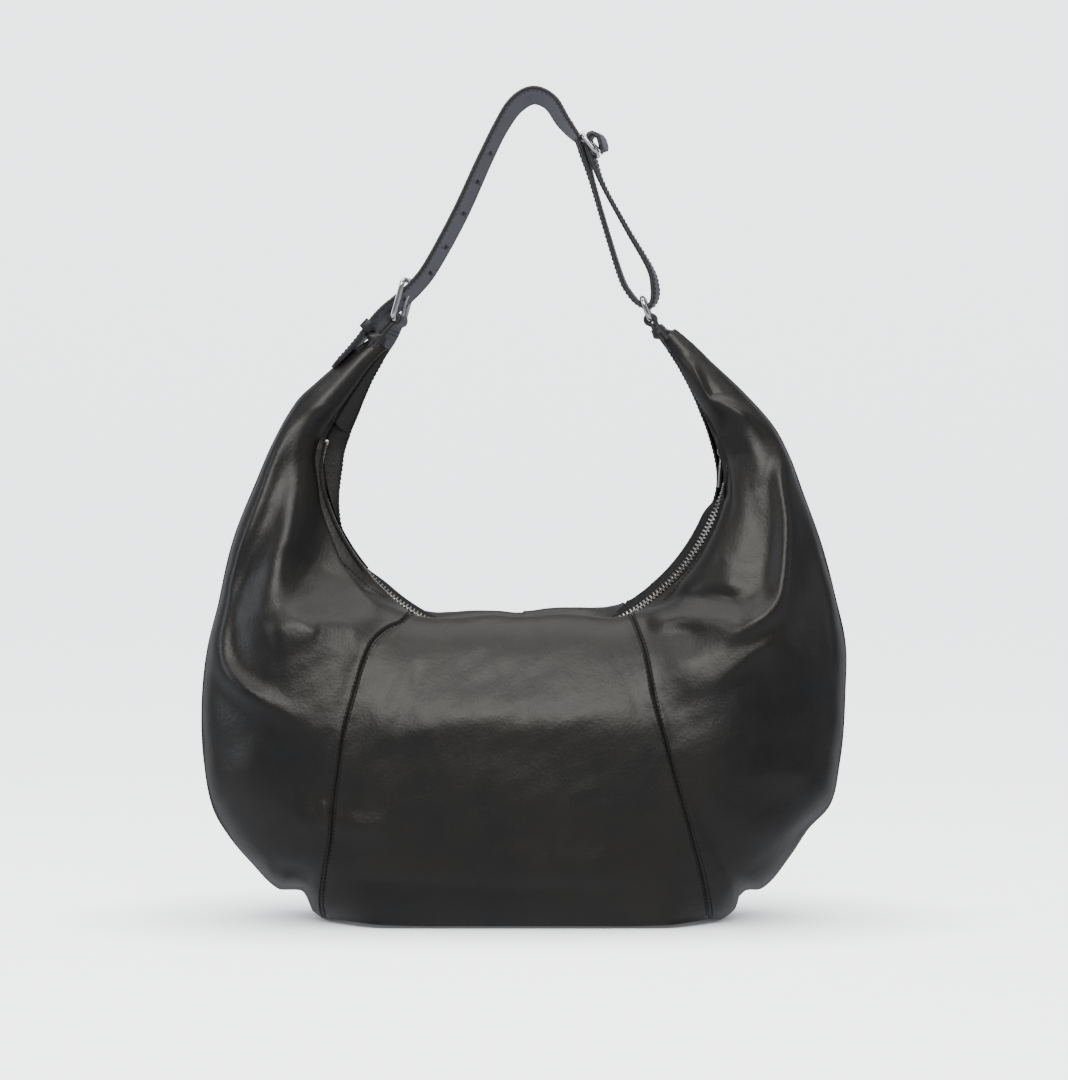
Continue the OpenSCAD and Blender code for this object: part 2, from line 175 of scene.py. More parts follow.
def stations(pairs, x):
    """Smooth value between (position, value) stations, level before the first."""
    xs, ys = np.array(pairs, float).T
    slopes = np.zeros_like(ys)
    slopes[1:-1] = (ys[2:] - ys[:-2]) / (xs[2:] - xs[:-2])
    slopes[-1] = (ys[-1] - ys[-2]) / (xs[-1] - xs[-2])
    x = np.clip(x, xs[0], xs[-1])
    i = np.clip(np.searchsorted(xs, x, side="right") - 1, 0, len(xs) - 2)
    h = xs[i + 1] - xs[i]
    u = (x - xs[i]) / h
    v = 1 - u
    return (ys[i] * (1 + 2 * u) * v * v + slopes[i] * h * u * v * v
            + ys[i + 1] * (3 - 2 * u) * u * u - slopes[i + 1] * h * u * u * v)


def along(points, t):
    """Smooth point along an evenly spaced list of points, for an array of t from 0 to 1."""
    p = np.array(points, float)
    n = len(p) - 1
    t = np.clip(np.asarray(t, float), 0, 1)
    i = np.minimum(n - 1, (t * n).astype(int))
    u = (t * n - i)[..., None]
    a, b, c, d = p[np.maximum(0, i - 1)], p[i], p[i + 1], p[np.minimum(n, i + 2)]
    return b + 0.5 * u * (c - a + u * (2 * a - 5 * b + 4 * c - d + u * (3 * (b - c) + d - a)))


def by_side(tables, a):
    """Value of the left or right station list, by the sign of the angle."""
    return np.where(a < 0, stations(tables[LEFT], -a), stations(tables[RIGHT], a))


def on_arc(r, turn, y=0.0):
    """Points at radius r and angle turn (radians from straight down) round the zip's centre."""
    return np.stack(np.broadcast_arrays(r * np.sin(turn), y, ARC_Z - r * np.cos(turn)), -1)


def at_depth(xz, y=0.0):
    """Points of the front view put at depth y."""
    xz = np.asarray(xz, float)
    return np.stack([xz[..., 0], np.broadcast_to(y, xz.shape[:-1]), xz[..., 1]], -1)


def unit(v):
    """Vectors of length 1."""
    return v / np.maximum(np.linalg.norm(v, axis=-1, keepdims=True), 1e-9)


def outer_radius(a):
    """Outer edge of the body, kept above the floor."""
    lift = SIDE_LIFT * ease((np.abs(a) - 23.0) / 3.4) + 2.4 * ease((np.abs(a) - 10) / 13)
    floor = (ARC_Z - lift - MIN_GAP) / np.cos(np.radians(np.minimum(np.abs(a), 60)))
    return np.minimum(by_side(OUTLINE, a), floor)


def rim_radius(a, face):
    return by_side(RIM[face], a)


def seam_angle(t, side):
    return side * stations(SEAM[side], t)


def closed_share(a):
    """How far the horn is sewn shut at an angle, 0 at the zip and 1 above it."""
    start, end = (np.where(a < 0, CLOSED[LEFT][k], CLOSED[RIGHT][k]) for k in (0, 1))
    return ease((np.abs(a) - start) / (end - start))


def base_skin(a, t, face):
    """Unfolded skin at angle a (degrees from straight down) and t from rim to outer edge."""
    size = np.abs(a)
    w = mix(ease((size - 6) / 36), ease((size - 16) / 12), t * t)
    f = along(CENTRE_SECTION, t) * (1 - w)[..., None] + along(SIDE_SECTION, t) * w[..., None]
    front_rim, shut = rim_radius(a, FRONT), closed_share(a)
    rim = mix(rim_radius(a, face), front_rim, shut)
    r = mix(rim, outer_radius(a), f[..., 0])
    if face == BACK:
        bulge = (t / 0.14) * np.exp(1 - t / 0.14)
        r -= 1.15 * shut * np.maximum(front_rim - rim_radius(a, BACK), 0) * bulge * (1 - t)
    gap = MOUTH_GAP * (1 - ease((size - 86) / 9))
    y = MIN_GAP + gap * (1 - t) ** 2 + (HALF_DEPTH - MIN_GAP) * stations(DEPTH_SHARE, size) * f[..., 1]
    return on_arc(r, np.radians(a), -face * y)


def normals(a, t, face):
    """Outward normals of the unfolded skin."""
    e = 0.006
    s = np.clip(t, e, 1 - e)
    da = base_skin(a + 0.6, s, face) - base_skin(a - 0.6, s, face)
    dt = base_skin(a, s + e, face) - base_skin(a, s - e, face)
    return unit(-face * np.cross(da, dt))


MAP_STEP, MAP_LEFT, MAP_LOW, MAP_HIGH = 1.5, -264.0, -6.0, 462.0
FOLD_POINTS, FOLD_REACH = 44, 2.7


def fold_map(folds):
    """Sum of every fold's height on a grid over the front view."""
    xs = np.arange(MAP_LEFT, -MAP_LEFT, MAP_STEP)
    zs = np.arange(MAP_LOW, MAP_HIGH, MAP_STEP)
    total = np.zeros((len(zs), len(xs)))
    for line, height, left, right in folds:
        p = along(line, np.linspace(0, 1, FOLD_POINTS))
        reach = FOLD_REACH * max(left, right)
        cols = np.flatnonzero((xs > p[:, 0].min() - reach) & (xs < p[:, 0].max() + reach))
        rows = np.flatnonzero((zs > p[:, 1].min() - reach) & (zs < p[:, 1].max() + reach))
        x, z = np.meshgrid(xs[cols], zs[rows])
        best, value = np.full(x.shape, 1e9), np.zeros_like(x)
        for k in range(len(p) - 1):
            d = p[k + 1] - p[k]
            u = np.clip(((x - p[k, 0]) * d[0] + (z - p[k, 1]) * d[1]) / max(d @ d, 1e-9), 0, 1)
            ox, oz = x - p[k, 0] - u * d[0], z - p[k, 1] - u * d[1]
            dist = np.hypot(ox, oz)
            width = np.where(d[0] * oz - d[1] * ox > 0, left, right)
            s = (k + u) / (len(p) - 1)
            taper = ease(s / 0.22) * ease((1 - s) / 0.3)
            near = dist < best
            best = np.where(near, dist, best)
            value = np.where(near, height * taper * np.exp(-(dist / width) ** 2), value)
        total[np.ix_(rows, cols)] += value
    return total


FOLD_MAPS = {FRONT: fold_map(FRONT_FOLDS), BACK: fold_map(BACK_FOLDS)}


def fold_height(x, z, face):
    """Height of the folds at points of the front view, from the grid."""
    grid = FOLD_MAPS[face]
    u = np.clip((x - MAP_LEFT) / MAP_STEP, 0, grid.shape[1] - 1.001)
    v = np.clip((z - MAP_LOW) / MAP_STEP, 0, grid.shape[0] - 1.001)
    i, j = u.astype(int), v.astype(int)
    u, v = u - i, v - j
    return (mix(grid[j, i], grid[j, i + 1], u) * (1 - v)
            + mix(grid[j + 1, i], grid[j + 1, i + 1], u) * v)


def waves(x, z, seed, scale, count=14):
    """Gentle uneven surface from a few slow waves."""
    r = np.random.default_rng(seed)
    total = np.zeros_like(x)
    for _ in range(count):
        ang, k, ph = r.uniform(0, math.pi), r.uniform(0.6, 1.6) / scale, r.uniform(0, 7)
        total += np.sin((x * math.cos(ang) + z * math.sin(ang)) * k * 2 * math.pi + ph)
    return total / math.sqrt(count)


def relief(a, t, face, p):
    """Seam grooves and soft unevenness over the unfolded skin."""
    x, z = p[..., 0], p[..., 2]
    edge = ease(t / 0.1) * ease((1 - t) / 0.06)
    horn = ease((np.abs(a) - 60) / 50)
    h = edge * (0.36 * waves(x, z, 3 + face, 70) + 0.13 * waves(x, z, 9 + face, 24)) * (1 - 0.6 * horn)
    for side in SIDES:
        d = np.radians(a - seam_angle(t, side)) * np.hypot(x, z - ARC_Z)
        pull = 0.5 * waves(z, z * 0 + side, 21 + side, 16, 6) * np.exp(-(d / 7) ** 2)
        lips = 0.35 * np.exp(-((np.abs(d) - 2.4) / 1.8) ** 2)
        h += lips - 0.9 * np.exp(-(d / 0.9) ** 2) + 0.35 * pull * edge
    return h


def skin(a, t, face, depth=0.0):
    """Folded leather surface in mm, depth under its outside."""
    p = base_skin(a, t, face)
    n = normals(a, t, face)
    flat = ease((t - 0.06) / 0.22)[..., None]
    forward = unit(n * (1 - flat) - face * Y_AXIS * flat)
    room = ease((np.abs(p[..., 1]) - 2) / 14) * ease(t / 0.1) * ease((1 - t) / 0.08)
    fold = fold_height(p[..., 0], p[..., 2], face) * room
    return p + n * (relief(a, t, face, p) - depth)[..., None] + forward * fold[..., None]


# ---- mesh helpers

def new_object(name, data):
    obj = bpy.data.objects.new(name, data)
    bpy.context.scene.collection.objects.link(obj)
    return obj


def add_mesh(name, verts, faces):
    """Smooth-shaded object from points in mm."""
    mesh = bpy.data.meshes.new(name)
    mesh.from_pydata([tuple(v) for v in np.asarray(verts, float) * MM], [], [tuple(f) for f in faces])
    mesh.validate()
    mesh.update()
    mesh.shade_smooth()
    return new_object(name, mesh)


def finish_piece(obj, material, nodes=(), body="bag"):
    """Gives a piece its material, slot and replaced CAD nodes, and its body if it has only one."""
    obj.data.materials.clear()
    obj.data.materials.append(material)
    if nodes:
        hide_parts(*nodes)
    if body:
        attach(obj, body)
    return obj


def outward(obj):
    """Points every face of a closed mesh outward."""
    bpy.context.view_layer.objects.active = obj
    obj.select_set(True)
    bpy.ops.object.mode_set(mode="EDIT")
    bpy.ops.mesh.select_all(action="SELECT")
    bpy.ops.mesh.normals_make_consistent(inside=False)
    bpy.ops.object.mode_set(mode="OBJECT")
    obj.select_set(False)
    return obj


def closed_sheet(name, outer, inner, edge_bulge=0.45):
    """Sheet between two grids, with rounded edges."""
    rows, cols = outer.shape[:2]
    grid = rows * cols
    index = np.arange(grid).reshape(rows, cols)
    ring = np.concatenate([index[0, :-1], index[:-1, -1], index[-1, :0:-1], index[:0:-1, 0]])
    top, low = outer.reshape(-1, 3), inner.reshape(-1, 3)
    inside = np.concatenate([outer[1, :-1], outer[:-1, -2], outer[-2, :0:-1], outer[:0:-1, 1]])
    away = unit(top[ring] - inside)
    thick = np.linalg.norm(top[ring] - low[ring], axis=1, keepdims=True)
    middle = (top[ring] + low[ring]) / 2 + away * thick * edge_bulge
    verts = np.concatenate([top, low, middle])
    a, b, c, d = index[:-1, :-1], index[:-1, 1:], index[1:, 1:], index[1:, :-1]
    quads = np.stack([a, b, c, d], -1).reshape(-1, 4)
    faces = quads.tolist() + (quads[:, ::-1] + grid).tolist()
    m = len(ring)
    for k in range(m):
        j = (k + 1) % m
        faces.append((ring[j], ring[k], 2 * grid + k, 2 * grid + j))
        faces.append((2 * grid + j, 2 * grid + k, ring[k] + grid, ring[j] + grid))
    return outward(add_mesh(name, verts, faces))


def tangents_along(path, closed=False):
    """Unit tangents of a line of points."""
    return unit(np.roll(path, -1, 0) - np.roll(path, 1, 0) if closed else np.gradient(path, axis=0))


def tube_faces(n, m, closed=False):
    """Faces through n rings of m points, with a cap on each end unless the tube closes on itself."""
    faces = [(i * m + k, i * m + (k + 1) % m, (i + 1) % n * m + (k + 1) % m, (i + 1) % n * m + k)
             for i in range(n if closed else n - 1) for k in range(m)]
    if not closed:
        faces += [tuple(range(m - 1, -1, -1)), tuple((n - 1) * m + k for k in range(m))]
    return faces


def sweep(name, path, across, profile, closed=False, scale=None):
    """Profile of (u, v) points swept along a path: u along across, v along tangent x across."""
    path = np.asarray(path, float)
    tangent = tangents_along(path, closed)
    u = unit(across - tangent * np.sum(across * tangent, 1, keepdims=True))
    v = np.cross(tangent, u)
    s = (np.ones(len(path)) if scale is None else scale)[:, None, None]
    verts = path[:, None] + u[:, None] * profile[None, :, :1] * s + v[:, None] * profile[None, :, 1:] * s
    return outward(add_mesh(name, verts.reshape(-1, 3), tube_faces(len(path), len(profile), closed)))


def circle(r, n):
    a = np.linspace(0, 2 * math.pi, n, endpoint=False)
    return np.stack([np.cos(a) * r, np.sin(a) * r], 1)


def rounded_rect(w, t, r, n=4):
    """Outline of a w by t rectangle with corner radius r."""
    points = []
    for cx, cy, start in ((1, 1, 0), (-1, 1, 90), (-1, -1, 180), (1, -1, 270)):
        for k in range(n + 1):
            a = math.radians(start + 90 * k / n)
            points.append((cx * (w / 2 - r) + r * math.cos(a), cy * (t / 2 - r) + r * math.sin(a)))
    return np.array(points)


def join(name, objs):
    """One object from several, keeping the first's place."""
    bpy.ops.object.select_all(action="DESELECT")
    for o in objs:
        o.select_set(True)
    bpy.context.view_layer.objects.active = objs[0]
    bpy.ops.object.join()
    objs[0].name = name
    objs[0].select_set(False)
    return objs[0]


def block(name, size, place, bevel, segments=3):
    """Box with rounded edges, size in mm, put in place by a matrix in mm."""
    bpy.ops.mesh.primitive_cube_add(size=1)
    obj = bpy.context.object
    obj.name = name
    obj.data.transform(Matrix.Diagonal((*size, 1)))
    mod = obj.modifiers.new("round", "BEVEL")
    mod.width, mod.segments, mod.limit_method = bevel, segments, "NONE"
    bpy.ops.object.modifier_apply(modifier=mod.name)
    obj.data.transform(Matrix.Scale(MM, 4) @ place)
    obj.data.shade_smooth()
    obj.select_set(False)
    return obj


def repeated(name, verts, faces, places):
    """Many copies of one small shape in a single mesh; places are 4x4 arrays in mm."""
    verts = np.asarray(verts, float)
    all_verts, all_faces = [], []
    for m in places:
        base = len(all_verts) * len(verts)
        all_verts.append(verts @ m[:3, :3].T + m[:3, 3])
        all_faces += [[i + base for i in f] for f in faces]
    return add_mesh(name, np.concatenate(all_verts), all_faces)


def frame_at(origin, x, y, z):
    """4x4 array of a place with its three axes."""
    m = np.eye(4)
    m[:3, 0], m[:3, 1], m[:3, 2], m[:3, 3] = x, y, z, origin
    return m


def to_matrix(origin, x, y, z):
    return Matrix(frame_at(origin, x, y, z).tolist())


# ---- materials

class Nodes:
    """Short way to build the node tree of a material or a world."""

    def __init__(self, owner, shader="Principled BSDF"):
        owner.use_nodes = True
        self.owner = owner
        self.tree = owner.node_tree
        self.shader = self.tree.nodes[shader]
        self.place = self.add("ShaderNodeTexCoord").outputs

    def fill(self, node, values):
        """Each value is a setting of the node, or what an input is set or linked to."""
        for key, value in values.items():
            if hasattr(node, key):
                setattr(node, key, value)
            elif isinstance(value, bpy.types.NodeSocket):
                self.tree.links.new(value, node.inputs[key.replace("_", " ")])
            else:
                node.inputs[key.replace("_", " ")].default_value = value
        return node

    def add(self, kind, **values):
        return self.fill(self.tree.nodes.new(kind), values)

    def set(self, **values):
        self.fill(self.shader, values)

    def texture(self, kind, result, **values):
        return self.add(kind, Vector=self.place["Object"], **values).outputs[result]

    def noise(self, scale, detail, rough):
        return self.texture("ShaderNodeTexNoise", "Fac", Scale=scale, Detail=detail, Roughness=rough)

    def cells(self, scale):
        return self.texture("ShaderNodeTexVoronoi", "Distance", Scale=scale)

    def wave(self, scale, direction):
        return self.texture("ShaderNodeTexWave", "Fac", Scale=scale, bands_direction=direction)

    def spread(self, value, low, high, **values):
        return self.add("ShaderNodeMapRange", Value=value, To_Min=low, To_Max=high, **values).outputs["Result"]

    def maths(self, operation, *terms):
        n = self.add("ShaderNodeMath", operation=operation)
        for socket, term in zip(n.inputs, terms):
            if isinstance(term, bpy.types.NodeSocket):
                self.tree.links.new(term, socket)
            else:
                socket.default_value = term
        return n.outputs["Value"]

    def axis(self, place, name):
        return self.add("ShaderNodeSeparateXYZ", Vector=self.place[place]).outputs[name]

    def colours(self, value, first, second, positions=(0.3, 0.7)):
        n = self.add("ShaderNodeValToRGB", Fac=value)
        for element, colour, position in zip(n.color_ramp.elements, (first, second), positions):
            element.color, element.position = (*colour, 1), position
        return n.outputs["Color"]

    def bump(self, heights):
        """heights are (value, strength, distance), stacked."""
        below = {}
        for value, strength, distance in heights:
            n = self.add("ShaderNodeBump", Height=value, Strength=strength, Distance=distance, **below)
            below = {"Normal": n.outputs["Normal"]}
        self.set(**below)


def leather_material(name, dark, light, rough, grain, crease, edge=None):
    """Grained leather; a strap's cut edges can be painted in another colour."""
    m = Nodes(bpy.data.materials.new(name))
    colour = m.colours(m.noise(14, 4, 0.6), dark, light)
    if edge:
        facing = m.maths("ABSOLUTE", m.axis("Normal", "Y"))
        blend = m.add("ShaderNodeMix", data_type="RGBA")
        m.tree.links.new(m.spread(facing, 0, 1, From_Min=0.5, From_Max=0.75), blend.inputs["Factor"])
        m.tree.links.new(colour, blend.inputs[6])
        blend.inputs[7].default_value = (*edge, 1)
        colour = blend.outputs[2]
    m.set(Base_Color=colour, Roughness=m.spread(m.noise(60, 4, 0.6), *rough), Specular_IOR_Level=0.5)
    m.bump([
        (m.noise(90, 3, 0.55), crease, 0.0006),
        (m.cells(420), grain, 0.0004),
        (m.noise(2600, 2, 0.5), grain * 0.5, 0.00012),
    ])
    return m.owner


def cloth_material(name, dark, light, scale):
    """Woven cloth with threads both ways."""
    m = Nodes(bpy.data.materials.new(name))
    m.set(Base_Color=m.colours(m.noise(300, 3, 0.6), dark, light),
          Roughness=m.spread(m.noise(400, 2, 0.5), 0.82, 0.95))
    m.bump([(m.wave(scale, "X"), 0.35, 0.0002), (m.wave(scale * 0.9, "Z"), 0.35, 0.0002)])
    return m.owner


def metal_material(name, colour, rough):
    m = Nodes(bpy.data.materials.new(name))
    m.set(Base_Color=m.colours(m.noise(90, 3, 0.5), colour, [c * 0.94 for c in colour]), Metallic=1.0,
          Roughness=m.spread(m.noise(220, 4, 0.6), rough, rough + 0.12))
    m.bump([(m.noise(420, 3, 0.6), 0.06, 0.0001)])
    return m.owner


BAG_LEATHER = leather_material(
    "bag_leather", (0.0074, 0.0078, 0.009), (0.0172, 0.0152, 0.0122), (0.39, 0.5), 0.22, 0.6)
STRAP_LEATHER = leather_material(
    "strap_leather", (0.05, 0.05, 0.063), (0.08, 0.078, 0.098), (0.36, 0.5), 0.2, 0.2, (0.022, 0.022, 0.025))
LINING = cloth_material("lining_cloth", (0.07, 0.066, 0.066), (0.11, 0.105, 0.105), 700)
TAPE = cloth_material("zip_tape_cloth", (0.008, 0.008, 0.009), (0.016, 0.016, 0.018), 900)
STRAP_BACK = leather_material(
    "strap_back_leather", (0.1, 0.1, 0.125), (0.15, 0.15, 0.18), (0.42, 0.55), 0.2, 0.2, (0.03, 0.03, 0.034))
NICKEL = metal_material("nickel", (0.83, 0.83, 0.84), 0.09)
ZIP_NICKEL = metal_material("zip_nickel", (0.5, 0.48, 0.45), 0.26)
THREAD = cloth_material("thread", (0.006, 0.006, 0.006), (0.014, 0.013, 0.013), 2400)
BOARD = cloth_material("board", (0.02, 0.02, 0.02), (0.03, 0.03, 0.03), 500)

# ---- leather panels

SIDE_COLS, CENTRE_COLS, ROWS = 230, 150, 210


def panel_angles(kind, u, t):
    """Angles across a panel, from its left edge (u = 0) to its right edge."""
    left, right = seam_angle(t, LEFT), seam_angle(t, RIGHT)
    low, high = {
        "left": (-HORN_END[LEFT], left),
        "centre": (left, right),
        "right": (right, HORN_END[RIGHT]),
    }[kind]
    return mix(low, high, u)


def panel(kind, face):
    cols = CENTRE_COLS if kind == "centre" else SIDE_COLS
    t, u = np.meshgrid(np.linspace(0, 1, ROWS + 1), np.linspace(0, 1, cols + 1), indexing="ij")
    a = panel_angles(kind, u, t)
    name = f"{FACES[face]}_{kind}_panel"
    obj = closed_sheet(f"{name}_leather", skin(a, t, face), skin(a, t, face, LEATHER))
    return finish_piece(obj, BAG_LEATHER, [name])


for face in FACES:
    for kind in ("left", "centre", "right"):
        panel(kind, face)


LINING_REACH = 98.0


def lining(face):
    t, u = np.meshgrid(np.linspace(0.07, 0.97, 90), np.linspace(0, 1, 160), indexing="ij")
    a = mix(-LINING_REACH, LINING_REACH, u)
    name = f"lining_{FACES[face]}"
    obj = closed_sheet(f"{name}_cloth", skin(a, t, face, 3.2), skin(a, t, face, 3.9))
    return finish_piece(obj, LINING, [name])


for face in FACES:
    lining(face)

# ---- base

def base():
    """Flat base leather whose edges turn up to meet the panels."""
    reach, rise_from = 26.0, 147.0
    u, v = np.meshgrid(np.linspace(-1, 1, 121), np.linspace(-1, 1, 61), indexing="ij")
    edge = skin(u * reach, np.full_like(u, 0.995), FRONT, LEATHER * 0.6)
    x, y_edge, z_edge = edge[..., 0], -edge[..., 1], edge[..., 2]
    rise = np.maximum(np.abs(v) ** 9, ease((np.abs(x) - rise_from) / 16))
    low = np.stack([x * 0.998, v * y_edge * 0.985, z_edge * rise], -1)
    high = low + np.array([0, 0, 2.2])
    obj = closed_sheet("base_leather", low, high, 0.3)
    return finish_piece(obj, BAG_LEATHER, ["base_panel"])


base()
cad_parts["base_board"].data.materials.clear()
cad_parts["base_board"].data.materials.append(BOARD)

# ---- stitches

def capsule(length, r, sides=6):
    """Small closed stitch shape along X."""
    rings = [(-0.5, 0.35), (-0.36, 0.9), (0, 1.0), (0.36, 0.9), (0.5, 0.35)]
    verts = []
    for s, k in rings:
        for w in np.linspace(0, 2 * math.pi, sides, endpoint=False):
            verts.append((s * length, k * r * math.cos(w), k * r * math.sin(w)))
    return verts, tube_faces(len(rings), sides)


def stitch_places(line, ups, step):
    """Places of stitches along a line; ups are the outward directions at its points."""
    d = np.concatenate([[0], np.cumsum(np.linalg.norm(np.diff(line, axis=0), axis=1))])
    s = np.arange(step, d[-1] - step, step)
    at = np.stack([np.interp(s, d, line[:, k]) for k in range(3)], 1)
    up = np.stack([np.interp(s, d, ups[:, k]) for k in range(3)], 1)
    places = []
    for p, x, z in zip(at, tangents_along(at), up):
        y = unit(np.cross(z, x))
        places.append(frame_at(p, x, y, np.cross(x, y)))
    return places


STITCH = capsule(2.5, 0.42)
STITCH_STEP = 3.5
STITCH_PROUD = 0.12


def panel_stitches(a, t, face):
    """Places of a row of stitches that lies on the leather."""
    return stitch_places(skin(a, t, face, -STITCH_PROUD), normals(a, t, face), STITCH_STEP)


def seam_stitches(face):
    """Two rows beside each seam."""
    places = []
    t = np.linspace(0.02, 0.985, 400)
    for side in SIDES:
        for off in (-1.9, 2.1):
            a0 = seam_angle(t, side)
            p0 = base_skin(a0, t, face)
            r = np.hypot(p0[:, 0], p0[:, 2] - ARC_Z)
            places += panel_stitches(a0 + np.degrees(off / r), t, face)
    obj = repeated(f"seam_stitches_{FACES[face]}", *STITCH, places)
    return finish_piece(obj, THREAD)


for face in FACES:
    seam_stitches(face)


def rim_stitches(face):
    """Topstitch beside the rim on both horns."""
    places = []
    for side in SIDES:
        a = side * np.linspace(40, HORN_END[side] - 3, 500)
        width = np.maximum(outer_radius(a) - rim_radius(a, face), 8)
        places += panel_stitches(a, np.clip(0.055 + 1.2 / width, 0.05, 0.16), face)
    obj = repeated(f"rim_stitches_{FACES[face]}", *STITCH, places)
    return finish_piece(obj, THREAD)


for face in FACES:
    rim_stitches(face)


def side_seam(side):
    """Turned edge where front and back meet down the outside."""
    a = side * np.linspace(27, HORN_END[side] - 6, 260)
    bump = 0.5 * waves(a * 3, a * 0, 31 + side, 40, 6)
    path = on_arc(outer_radius(a) - 0.9 + 0.25 * bump, np.radians(a))
    lip = sweep(f"side_seam_{SIDES[side]}", path, Y_AXIS, rounded_rect(3.0, 2.2, 0.9, 3))
    return finish_piece(lip, BAG_LEATHER)


for side in SIDES:
    side_seam(side)

# ---- zip

# The chain follows the arc to the right; past TURN_START on the left it curls in on a smaller arc.
TURN_R, TURN_START, TURN_END = 60.0, -75.0, -112.0
CHAIN_RIGHT = 90.0
PITCH = 3.2
turn_x, _, turn_z = on_arc(ZIP_R - TURN_R, math.radians(TURN_START))
main_len = math.radians(CHAIN_RIGHT - TURN_START) * ZIP_R
turn_len = math.radians(TURN_START - TURN_END) * TURN_R


def chain_frames(s):
    """Point, tangent, tape direction and inward direction at lengths s from the left end."""
    s = np.asarray(s, float)
    on_turn = s < turn_len
    a = np.where(on_turn, np.radians(TURN_END) + s / TURN_R, np.radians(TURN_START) + (s - turn_len) / ZIP_R)
    r = np.where(on_turn, TURN_R, ZIP_R)
    cx, cz = np.where(on_turn, turn_x, 0.0), np.where(on_turn, turn_z, ARC_Z)
    p = np.stack([cx + r * np.sin(a), 0 * a, cz - r * np.cos(a)], 1)
    tangent = np.stack([np.cos(a), 0 * a, np.sin(a)], 1)
    inward = np.stack([-np.sin(a), 0 * a, np.cos(a)], 1)
    deg = np.degrees(a)
    tilt = np.radians(44 * ease((deg - 18) / 16) * ease((76 - deg) / 10)
                      + 22 * ease((-deg - 18) / 10) * ease((54 + deg) / 12))[:, None]
    across = np.cos(tilt) * Y_AXIS + np.sin(tilt) * inward
    return p, tangent, across, np.cross(tangent, across) * -1


def zip_tape(face):
    """Half of the zip's tape, from the teeth outward."""
    s = np.linspace(0, turn_len + main_len, 420)
    p, tangent, across, up = chain_frames(s)
    middle = p[None] - face * across[None] * np.linspace(0.6, 12.5, 8)[:, None, None]
    name = f"zip_tape_{FACES[face]}"
    obj = closed_sheet(f"{name}_cloth", middle + up[None] * 0.35, middle - up[None] * 0.35, 0.2)
    return finish_piece(obj, TAPE, [name])


for face in FACES:
    zip_tape(face)


def zip_facing():
    """Leather strip from the back rim to the zip, seen through the left of the opening."""
    a, u = np.meshgrid(np.linspace(-94, -50, 120), np.linspace(0, 1, 9), indexing="xy")
    rim = skin(a, np.full_like(a, 0.004), BACK, 1.0)
    sheet = mix(rim, on_arc(ZIP_R - 2.6, np.radians(a), 7.2), u[..., None])
    depth = 0.6 * Y_AXIS
    obj = closed_sheet("zip_facing_leather", sheet - depth, sheet + depth, 0.3)
    return finish_piece(obj, BAG_LEATHER)


zip_facing()


def tooth_shape():
    """One metal tooth: a clamp over the tape edge and a narrower nose with a dimple."""
    sections = [(3.5, 0.5, 1.1), (3.1, 0.68, 1.6), (1.3, 0.68, 1.6),
                (0.5, 0.58, 1.0), (-0.7, 0.55, 0.9), (-0.9, 0.35, 0.6)]
    verts = []
    for y, x, z in sections:
        verts += [(-x, y, -z * 0.8), (-x * 0.8, y, -z), (x * 0.8, y, -z), (x, y, -z * 0.8),
                  (x, y, z * 0.8), (x * 0.8, y, z), (-x * 0.8, y, z), (-x, y, z * 0.8)]
    return verts, tube_faces(len(sections), 8)


def zip_teeth(face):
    """One side's teeth, half a pitch off the other side's."""
    shift = 0 if face == FRONT else PITCH / 2
    s = np.arange(2.5 + shift, turn_len + main_len - 1.2, PITCH)
    places = [frame_at(p, x, -face * y, -face * np.cross(x, y)) for p, x, y, _ in zip(*chain_frames(s))]
    name = f"zip_teeth_{FACES[face]}"
    obj = repeated(f"{name}_metal", *tooth_shape(), places)
    obj.data.shade_flat()
    outward(obj)
    return finish_piece(obj, ZIP_NICKEL, [name])


for face in FACES:
    zip_teeth(face)


def zip_stops():
    p, tangent, across, up = chain_frames([0.4, turn_len + main_len + 0.8])
    left = block("left_stop", (4.6, 8.6, 3.8), to_matrix(p[0], tangent[0], across[0], up[0]), 0.9)
    right = [block("top_stop", (2.6, 3.2, 3.8),
                   to_matrix(p[1] + across[1] * 2.6 * sign, tangent[1], across[1], up[1]), 0.7)
             for sign in (-1, 1)]
    return finish_piece(join("zip_stops_metal", [left] + right), ZIP_NICKEL, ["zip_stops"])


zip_stops()

SLIDER_AT = math.radians(86)
slider_x = np.array([math.cos(SLIDER_AT), 0, math.sin(SLIDER_AT)])
slider_in = np.array([-math.sin(SLIDER_AT), 0, math.cos(SLIDER_AT)])
slider_p = on_arc(ZIP_R, SLIDER_AT)
PIN_OFF = 6.45


def slider_place(dx, dy, dz):
    """Place on the slider: along the chain, across it and inward."""
    return to_matrix(slider_p + slider_x * dx + Y_AXIS * dy + slider_in * dz, slider_x, Y_AXIS, slider_in)


def zip_slider():
    """Two plates with flanges, a post between them and a bridge for the puller."""
    parts = [block("plate", (12, 12.2, 1.5), slider_place(0, 0, s * 3.1), 0.7) for s in (-1, 1)]
    parts += [block("flange", (11.6, 1.2, 1.0), slider_place(0, s * 5.6, e * 1.9), 0.35)
              for s in (-1, 1) for e in (-1, 1)]
    parts.append(block("post", (3.6, 0.9, 6), slider_place(3.8, 0, 0), 0.2))
    bow = np.array([(-3.6, 3.6), (-3.5, 6.4), (-2.2, 8.4), (0, 9.0), (2.2, 8.4), (3.5, 6.4), (3.6, 3.6)])
    path = along(bow, np.linspace(0, 1, 30))
    line = slider_p + path[:, :1] * slider_x + path[:, 1:] * slider_in
    parts.append(sweep("bridge", line, Y_AXIS, rounded_rect(2.6, 1.3, 0.5, 3)))
    return finish_piece(join("zip_slider_metal", parts), ZIP_NICKEL, ["zip_slider"], "slider")


